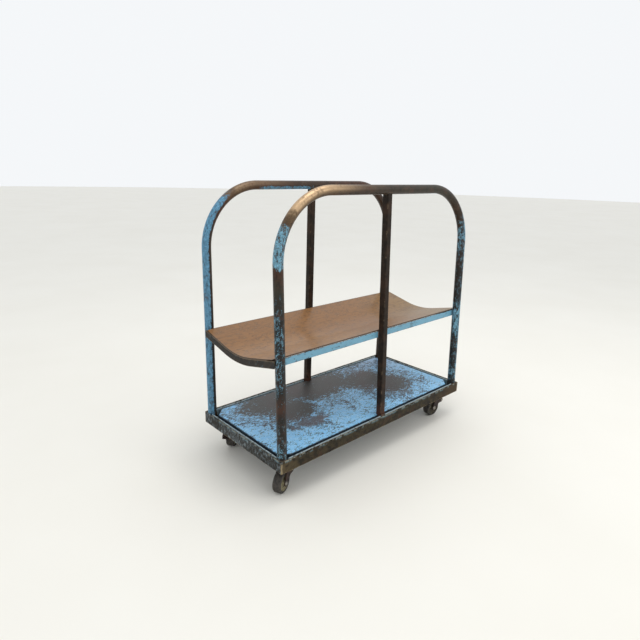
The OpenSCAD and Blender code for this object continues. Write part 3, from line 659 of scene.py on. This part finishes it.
def deck_sheet():
    """The deck: rings shrunk from the outline to the middle on top, a rounded edge, the fold down
    to the frame's foot and up inside it, and the rings again below. The outline is a rectangle
    with cut corners and a square notch at each middle post. The top lies in shallow waves."""
    lo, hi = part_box("deck_panel")
    x, y, fold, thick = hi.x, hi.y, hi.z - lo.z, 3 * MM
    cut, clear = 26 * MM, 1.5 * MM
    notch, inner = MID_HALF + clear, POST_Y - MID_HALF - clear
    right_half = np.array([(notch, -inner), (notch, -y), (x - cut, -y), (x, -y + cut),
                           (x, y - cut), (x - cut, y), (notch, y), (notch, inner)])
    corners = np.roll(np.concatenate([right_half, -right_half]), 2, 0)
    sides = np.roll(corners, -1, 0) - corners
    steps = np.maximum((np.linalg.norm(sides, axis=1) / (7 * MM)).astype(int), 1)
    which = np.repeat(np.arange(len(corners)), steps)
    part = (np.arange(steps.sum()) - np.repeat(np.cumsum(steps) - steps, steps)) / steps[which]
    rim = corners[which] + sides[which] * part[:, None]
    top_rings, low_rings = np.linspace(0.03, 0.985, 34), np.linspace(0.95, 0.03, 8)
    shrink = np.concatenate([top_rings, [0.991, 0.9955, 0.9985, 1, 1, 1, 0.984, 0.984], low_rings])
    turn_down = [0, 0.15 * thick, 0.4 * thick, thick, fold - 1 * MM, fold, fold, thick]
    drop = np.concatenate([np.zeros(len(top_rings)), turn_down, np.full(len(low_rings), thick)])[:, None]
    flat = rim * shrink[:, None, None]
    level = np.concatenate([flat, np.zeros(flat.shape[:2] + (1,))], -1)
    wave = np.clip(wobble(level, 260 * MM, 11) * 0.5 + 0.5, 0, 1) * 0.9 * MM * (1 - shrink[:, None] ** 8)
    points = np.concatenate([flat, (hi.z - drop - wave * (drop < thick / 2))[..., None]], -1)
    edge = np.interp(np.arange(len(shrink)), [33, 35, 37, 38], [0, 0.8, 1, 0.3])[:, None]
    return surface("deck_sheet", points, "base", "deck_paint", ["deck_panel"], edge=edge)


deck_sheet()


# ---- hoops and posts

def hoop_tube(name, side, slot, node):
    """A hoop: a circle carried up one post, round a quarter turn, along the top, round and down.
    The angles first and second are how far each bend has turned at a distance s along it. On the
    bends the tube is slightly flattened in the hoop's own plane, as a bent tube is."""
    rise, run, bend = HOOP_TOP - BEND_R, 2 * (POST_X - BEND_R), math.pi / 2 * BEND_R
    s = np.concatenate([np.linspace(0, rise, 70, endpoint=False),
                        rise + np.linspace(0, bend, 40, endpoint=False),
                        rise + bend + np.linspace(0, run, 60, endpoint=False),
                        rise + bend + run + np.linspace(0, bend, 40, endpoint=False),
                        rise + 2 * bend + run + np.linspace(0, rise, 70)])
    first = np.clip((s - rise) / bend, 0, 1) * math.pi / 2
    second = np.clip((s - rise - bend - run) / bend, 0, 1) * math.pi / 2
    x = -POST_X + BEND_R * (1 - np.cos(first)) + np.clip(s - rise - bend, 0, run) + BEND_R * np.sin(second)
    z = (np.clip(s, 0, rise) + BEND_R * np.sin(first) - BEND_R * (1 - np.cos(second))
         - np.clip(s - rise - 2 * bend - run, 0, None))
    turned = (first + second)[:, None]
    bent = (np.sin(2 * first) + np.sin(2 * second))[:, None]
    around = np.linspace(0, 2 * math.pi, 36, endpoint=False)
    out = np.cos(around) * TUBE_R * (1 - 0.035 * bent)
    points = leaned(side, x[:, None] - np.cos(turned) * out, np.sin(around) * TUBE_R,
                    z[:, None] + np.sin(turned) * out)
    return surface(name, points, "base", slot, [node], along=s[:, None], inner=-np.cos(around))


hoop_tube("hoop_front_tube", -1, "front_hoop_paint", "hoop_front")
hoop_tube("hoop_back_tube", 1, "back_hoop_paint", "hoop_back")


def square_post(name, side, node):
    """A square tube with rounded corners, carried up from the frame's foot into the top rail."""
    h = MID_HALF
    outline, edge = rounded_outline([(-h, -h), (h, -h), (h, h), (-h, h)], 2.2 * MM, 1.5 * MM)
    z = np.linspace(0, HOOP_TOP - TUBE_R * 0.6, 90)[:, None]
    return surface(name, leaned(side, *outline.T, z), "base", "post_paint", [node], edge=edge)


square_post("mid_post_front_bar", -1, "mid_post_front")
square_post("mid_post_back_bar", 1, "mid_post_back")


# ---- shelf

def panel_sheet():
    """The shelf panel: a thin closed outline that follows the trough's line out and back, carried
    along the cart. Its ends step in where the corner posts stand."""
    half, tip = SHELF_HALF, 1.2 * MM
    top_y = np.linspace(-half + tip, half - tip, 90)
    swing = np.linspace(0, math.pi, 7)[1:-1]
    nose, fall = tip * np.sin(swing), PANEL_T * (1 - np.cos(swing)) / 2
    y = np.concatenate([top_y, half - tip + nose, top_y[::-1], (-half + tip - nose)[::-1]])
    depth = np.concatenate([np.zeros(len(top_y)), fall, np.full(len(top_y), PANEL_T), fall[::-1]])
    post_y = POST_Y - TUBE_R - 0.8 * MM - SHELF_UP * math.tan(LEAN[-1]) + SHELF_MID
    beside_post, past_post = min(post_y, half - 3.5 * MM), POST_X + TUBE_R - 27 * MM
    s = np.concatenate([[-1, -0.9995], np.linspace(-0.997, 0.997, 80), [0.9995, 1]])[:, None]
    x = s * np.where(np.abs(y) > beside_post, past_post, panel_hi.x)
    points = np.stack(np.broadcast_arrays(x, y + SHELF_MID, SHELF_Z + trough_z(y, depth)), -1)
    long_edge = np.interp(np.abs(y), [half - 3 * MM, half - tip], [0, 1])
    short_edge = np.interp(np.abs(s), [0.9965, 0.9995], [0, 1])
    return surface("shelf_panel_sheet", points, "base", "shelf_board", ["shelf_panel"],
                   edge=np.maximum(long_edge, short_edge))


def side_rail(name, side, node):
    """A shelf's side rail: a flat bar on edge just inside the posts, its top edge cut to the
    slope of the panel that lies on it, carried from corner post to corner post."""
    inner, far = -side * MID_HALF, -side * (MID_HALF + SHELF_RAIL_T)
    top = SHELF_UP - PANEL_T / math.cos(SLOPE)
    fall = SHELF_RAIL_T * math.tan(SLOPE)
    corners = [(inner, RAIL_LOW), (far, RAIL_LOW), (far, top - fall), (inner, top)]
    outline, edge = rounded_outline(corners[::-side], 0.7 * MM, 1.4 * MM)
    reach = POST_X - HALF_CHORD + 2 * MM
    x = np.linspace(-reach, reach, 150)[:, None]
    return surface(name, leaned(side, x, *outline.T), "base", "shelf_rail_paint", [node], edge=edge)


def trough_bar(name, end, x0, x1, thick, low, high, stations, replaces=()):
    """A bar across one end of the cart under the trough's line, from y low to high: a rounded
    rectangle between x0 and x1 that hangs from the panel's underside and is so thick."""
    top, bottom = PANEL_T, PANEL_T + thick
    outline, edge = rounded_outline([(x0, top), (x1, top), (x1, bottom), (x0, bottom)], 0.8 * MM, 1.4 * MM)
    x, depth = outline.T
    y = np.linspace(low, high, stations)[:, None]
    points = np.stack(np.broadcast_arrays(end * x, y + SHELF_MID, SHELF_Z + trough_z(y, depth)), -1)
    return surface(name, points, "base", "shelf_end_paint", replaces, edge=edge)


panel_sheet()
side_rail("shelf_rail_front_bar", -1, "shelf_rail_front")
side_rail("shelf_rail_back_bar", 1, "shelf_rail_back")
for where, end in ENDS:
    lo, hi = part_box(f"shelf_end_{where}")
    trough_bar(f"shelf_end_{where}_flange", end, SHELF_END, SHELF_END + SHELF_RAIL_T, SHELF_RAIL_H,
               lo.y - SHELF_MID, hi.y - SHELF_MID, 90, [f"shelf_end_{where}"])
    seat_half = SHELF_HALF - 6 * MM
    trough_bar(f"shelf_end_{where}_seat", end, SHELF_END - 16 * MM, SHELF_END + 0.5 * MM, 3 * MM,
               -seat_half, seat_half, 70)


# ---- welds

def bead(name, path, radius, seed, closed=False):
    """A weld bead: a circle carried along a path, its radius swelling in ripples a few millimetres
    apart and uneven from place to place, its ends drawn in."""
    ways = unit(np.roll(path, -1, 0) - np.roll(path, 1, 0) if closed else np.gradient(path, axis=0))
    helper = np.where(np.abs(ways[:, 2:]) > 0.9, [[1.0, 0, 0]], [[0, 0, 1.0]])
    across = unit(np.cross(ways, helper))
    up = np.cross(across, ways)
    s = np.concatenate([[0], np.cumsum(np.linalg.norm(np.diff(path, axis=0), axis=1))])
    r = radius * (1 + 0.16 * np.sin(s * 2 * math.pi / (2.6 * MM)) + 0.22 * wobble(path, 9 * MM, seed))
    if not closed:
        r = r * np.sqrt(np.clip(np.minimum(s, s[-1] - s) / radius, 0.05, 1))
    around = np.linspace(0, 2 * math.pi, 12, endpoint=False)[:, None]
    spoke = np.cos(around) * across[:, None] + np.sin(around) * up[:, None]
    points = path[:, None] + r[:, None, None] * spoke
    piece = surface(name, points, "base", "frame_paint", closed=closed, crease=70)
    piece.data.materials.clear()
    piece.data.materials.append(weld)
    return piece


for where, side in SIDES:
    foot = leaned(side, np.array([-MID_HALF, MID_HALF]), side * (MID_HALF + 1.4 * MM),
                  FRAME_TOP - FOOT_Z + 0.2 * MM)
    bead(f"weld_mid_post_{where}_foot", np.linspace(*foot, 50), 2.2 * MM, 20 + side)
    t = np.linspace(0, 1, 120, endpoint=False) * 4
    k, part = np.floor(t).astype(int), t % 1
    ring = np.array([(-1, -1), (1, -1), (1, 1), (-1, 1)]) * MID_HALF
    x, y = (ring[k] + (ring[(k + 1) % 4] - ring[k]) * part[:, None]).T
    top = leaned(side, x, y, HOOP_TOP - np.sqrt(TUBE_R ** 2 - y ** 2))
    bead(f"weld_mid_post_{where}_top", top, 1.5 * MM, 30 + side, closed=True)
    inner, high = -side * MID_HALF, SHELF_UP - PANEL_T - 1 * MM
    uprights = (("rail", POST_X - HALF_CHORD, inner + side * 0.2 * MM, RAIL_LOW, 1.6 * MM, 40),
                ("mid", MID_HALF, inner + side * 0.3 * MM, RAIL_LOW, 1.4 * MM, 50),
                ("end", POST_X + TUBE_R * 0.86, -side * TUBE_R * 0.55, RAIL_LOW + 2 * MM, 1.7 * MM, 60))
    for corner, end in ENDS:
        for what, x, y, low, radius, seed in uprights:
            seam = leaned(side, end * x, y, np.array([low, high]))
            bead(f"weld_shelf_{what}_{where}_{corner}", np.linspace(*seam, 50), radius, seed + 2 * side + end)
        turn = np.linspace(0.05, 0.95, 70) * math.pi
        foot_y = side * POST_Y + math.sin(LEAN[side]) * (FRAME_TOP - FOOT_Z)
        foot_ring = np.stack([end * (POST_X + TUBE_R * np.cos(turn * 0.9)),
                              foot_y + side * TUBE_R * np.sin(turn),
                              np.full(len(turn), FRAME_TOP - 1.5 * MM)], -1)
        bead(f"weld_post_foot_{where}_{corner}", foot_ring, 1.8 * MM, 70 + 2 * side + end)


# ---- tyres

def tyre(corner):
    """A tyre: half outline of a worn tread with rounded shoulders and two shallow grooves, spun
    about the axle. The tread is a little flattened and uneven round the wheel."""
    joint = next(j for j in frame["joints"] if j["child"] == f"wheel_{corner}")
    centre, axis = np.array(joint["pos_m"]), np.array(joint["axis"])
    radius, half_w, core, shoulder, seat = 29 * MM, 12 * MM, 22.5 * MM, 3 * MM, 0.8 * MM
    outline, edge = rounded_outline([(core, -half_w), (radius, -half_w), (radius, half_w), (core, half_w)],
                                    [seat, shoulder, shoulder, seat], 1.0 * MM, 6)
    quarter, half = len(outline) // 4, len(outline) // 2
    tread = np.linspace(-half_w + shoulder + 1.2 * MM, half_w - shoulder - 1.2 * MM, 25)
    groove = np.where(np.abs(np.abs(tread) - 3.4 * MM) < 0.7 * MM, 0.8 * MM, 0)
    row_r, row_w = np.concatenate([outline[:half], np.stack([radius - groove, tread], 1), outline[half:]]).T
    wear = np.zeros(len(row_r))
    wear[quarter:-quarter] = 1
    a = np.linspace(0, 2 * math.pi, 96, endpoint=False)[:, None]
    up = np.array([0, 0, 1.0])
    ahead = np.cross(axis, up)
    r = row_r - 0.12 * MM * (1 + np.sin(3 * a + 1)) * (row_r > core + 4 * MM)
    spoke = np.cos(a)[..., None] * ahead + np.sin(a)[..., None] * up
    points = centre + r[..., None] * spoke + row_w[:, None] * axis
    return surface(f"tyre_{corner}_tread", points, f"wheel_{corner}", "tyre_rubber", [f"tyre_{corner}"],
                   closed=True, edge=wear)


for corner in CORNERS:
    tyre(corner)


# ---- stage, light and camera

def stage_floor():
    """A wide flat disc under the cart: rings from the middle out."""
    ring = np.concatenate([[0.02], np.linspace(0.4, 20, 30)])[:, None]
    a = np.linspace(0, 2 * math.pi, 96, endpoint=False)
    points = np.stack([ring * np.cos(a), ring * np.sin(a), 0 * ring * a], -1)
    ids = np.arange(points[..., 0].size).reshape(points.shape[:2])
    near, far = ids[:-1], ids[1:]
    quads = np.stack([near, far, np.roll(far, -1, 1), np.roll(near, -1, 1)], -1).reshape(-1, 4)
    mesh = bpy.data.meshes.new("floor")
    mesh.from_pydata(points.reshape(-1, 3).tolist(), [], quads.tolist() + [ids[0].tolist()])
    floor = bpy.data.objects.new("floor", mesh)
    bpy.context.scene.collection.objects.link(floor)
    f = Finish("floor_paint")
    tone = f.mix(srgb(232, 229, 220), srgb(240, 238, 231), f.noise(0.5, 3))
    mesh.materials.append(f.finish(tone, 0.6))


def area_light(name, place, target, size, power, tint):
    """A round lamp at a place, turned to shine on the target."""
    light = bpy.data.lights.new(name, "AREA")
    light.shape, light.size, light.energy, light.color = "DISK", size, power, tint
    lamp = bpy.data.objects.new(name, light)
    bpy.context.scene.collection.objects.link(lamp)
    lamp.location = place
    lamp.rotation_euler = (Vector(target) - Vector(place)).to_track_quat("-Z", "Y").to_euler()


def stand_camera(place, yaw, pitch, roll, lens):
    """A camera at a place, turned yaw degrees from +Y towards +X, then down, then tipped."""
    yaw, pitch, roll = (math.radians(v) for v in (yaw, pitch, roll))
    data = bpy.data.cameras.new("camera")
    data.sensor_width, data.lens = 36, lens
    camera = bpy.data.objects.new("camera", data)
    bpy.context.scene.collection.objects.link(camera)
    look = Vector((math.sin(yaw) * math.cos(pitch), math.cos(yaw) * math.cos(pitch), -math.sin(pitch)))
    right = Vector((math.cos(yaw), -math.sin(yaw), 0))
    above = right.cross(look)
    tipped_right = right * math.cos(roll) + above * math.sin(roll)
    tipped_up = above * math.cos(roll) - right * math.sin(roll)
    turned = Matrix((tipped_right, tipped_up, -look)).transposed().to_4x4()
    camera.matrix_world = Matrix.Translation(place) @ turned
    bpy.context.scene.camera = camera


stage_floor()
world = bpy.data.worlds.new("studio")
bpy.context.scene.world = world
world.use_nodes = True
sky = world.node_tree.nodes["Background"]
sky.inputs["Color"].default_value = (0.96, 0.98, 1.0, 1)
sky.inputs["Strength"].default_value = 0.95
area_light("overhead", (0.1, -0.3, 2.6), (0, 0, 0.3), 1.3, 17, (1, 0.98, 0.95))
area_light("front_right", (1.5, -2.4, 1.7), (0, 0, 0.35), 1.2, 10, (1, 0.97, 0.93))
stand_camera((-1.0837, -1.0470, 0.8225), 43.099, 16.577, 1.496, 28.37)
bpy.context.scene.view_settings.view_transform = "Standard"
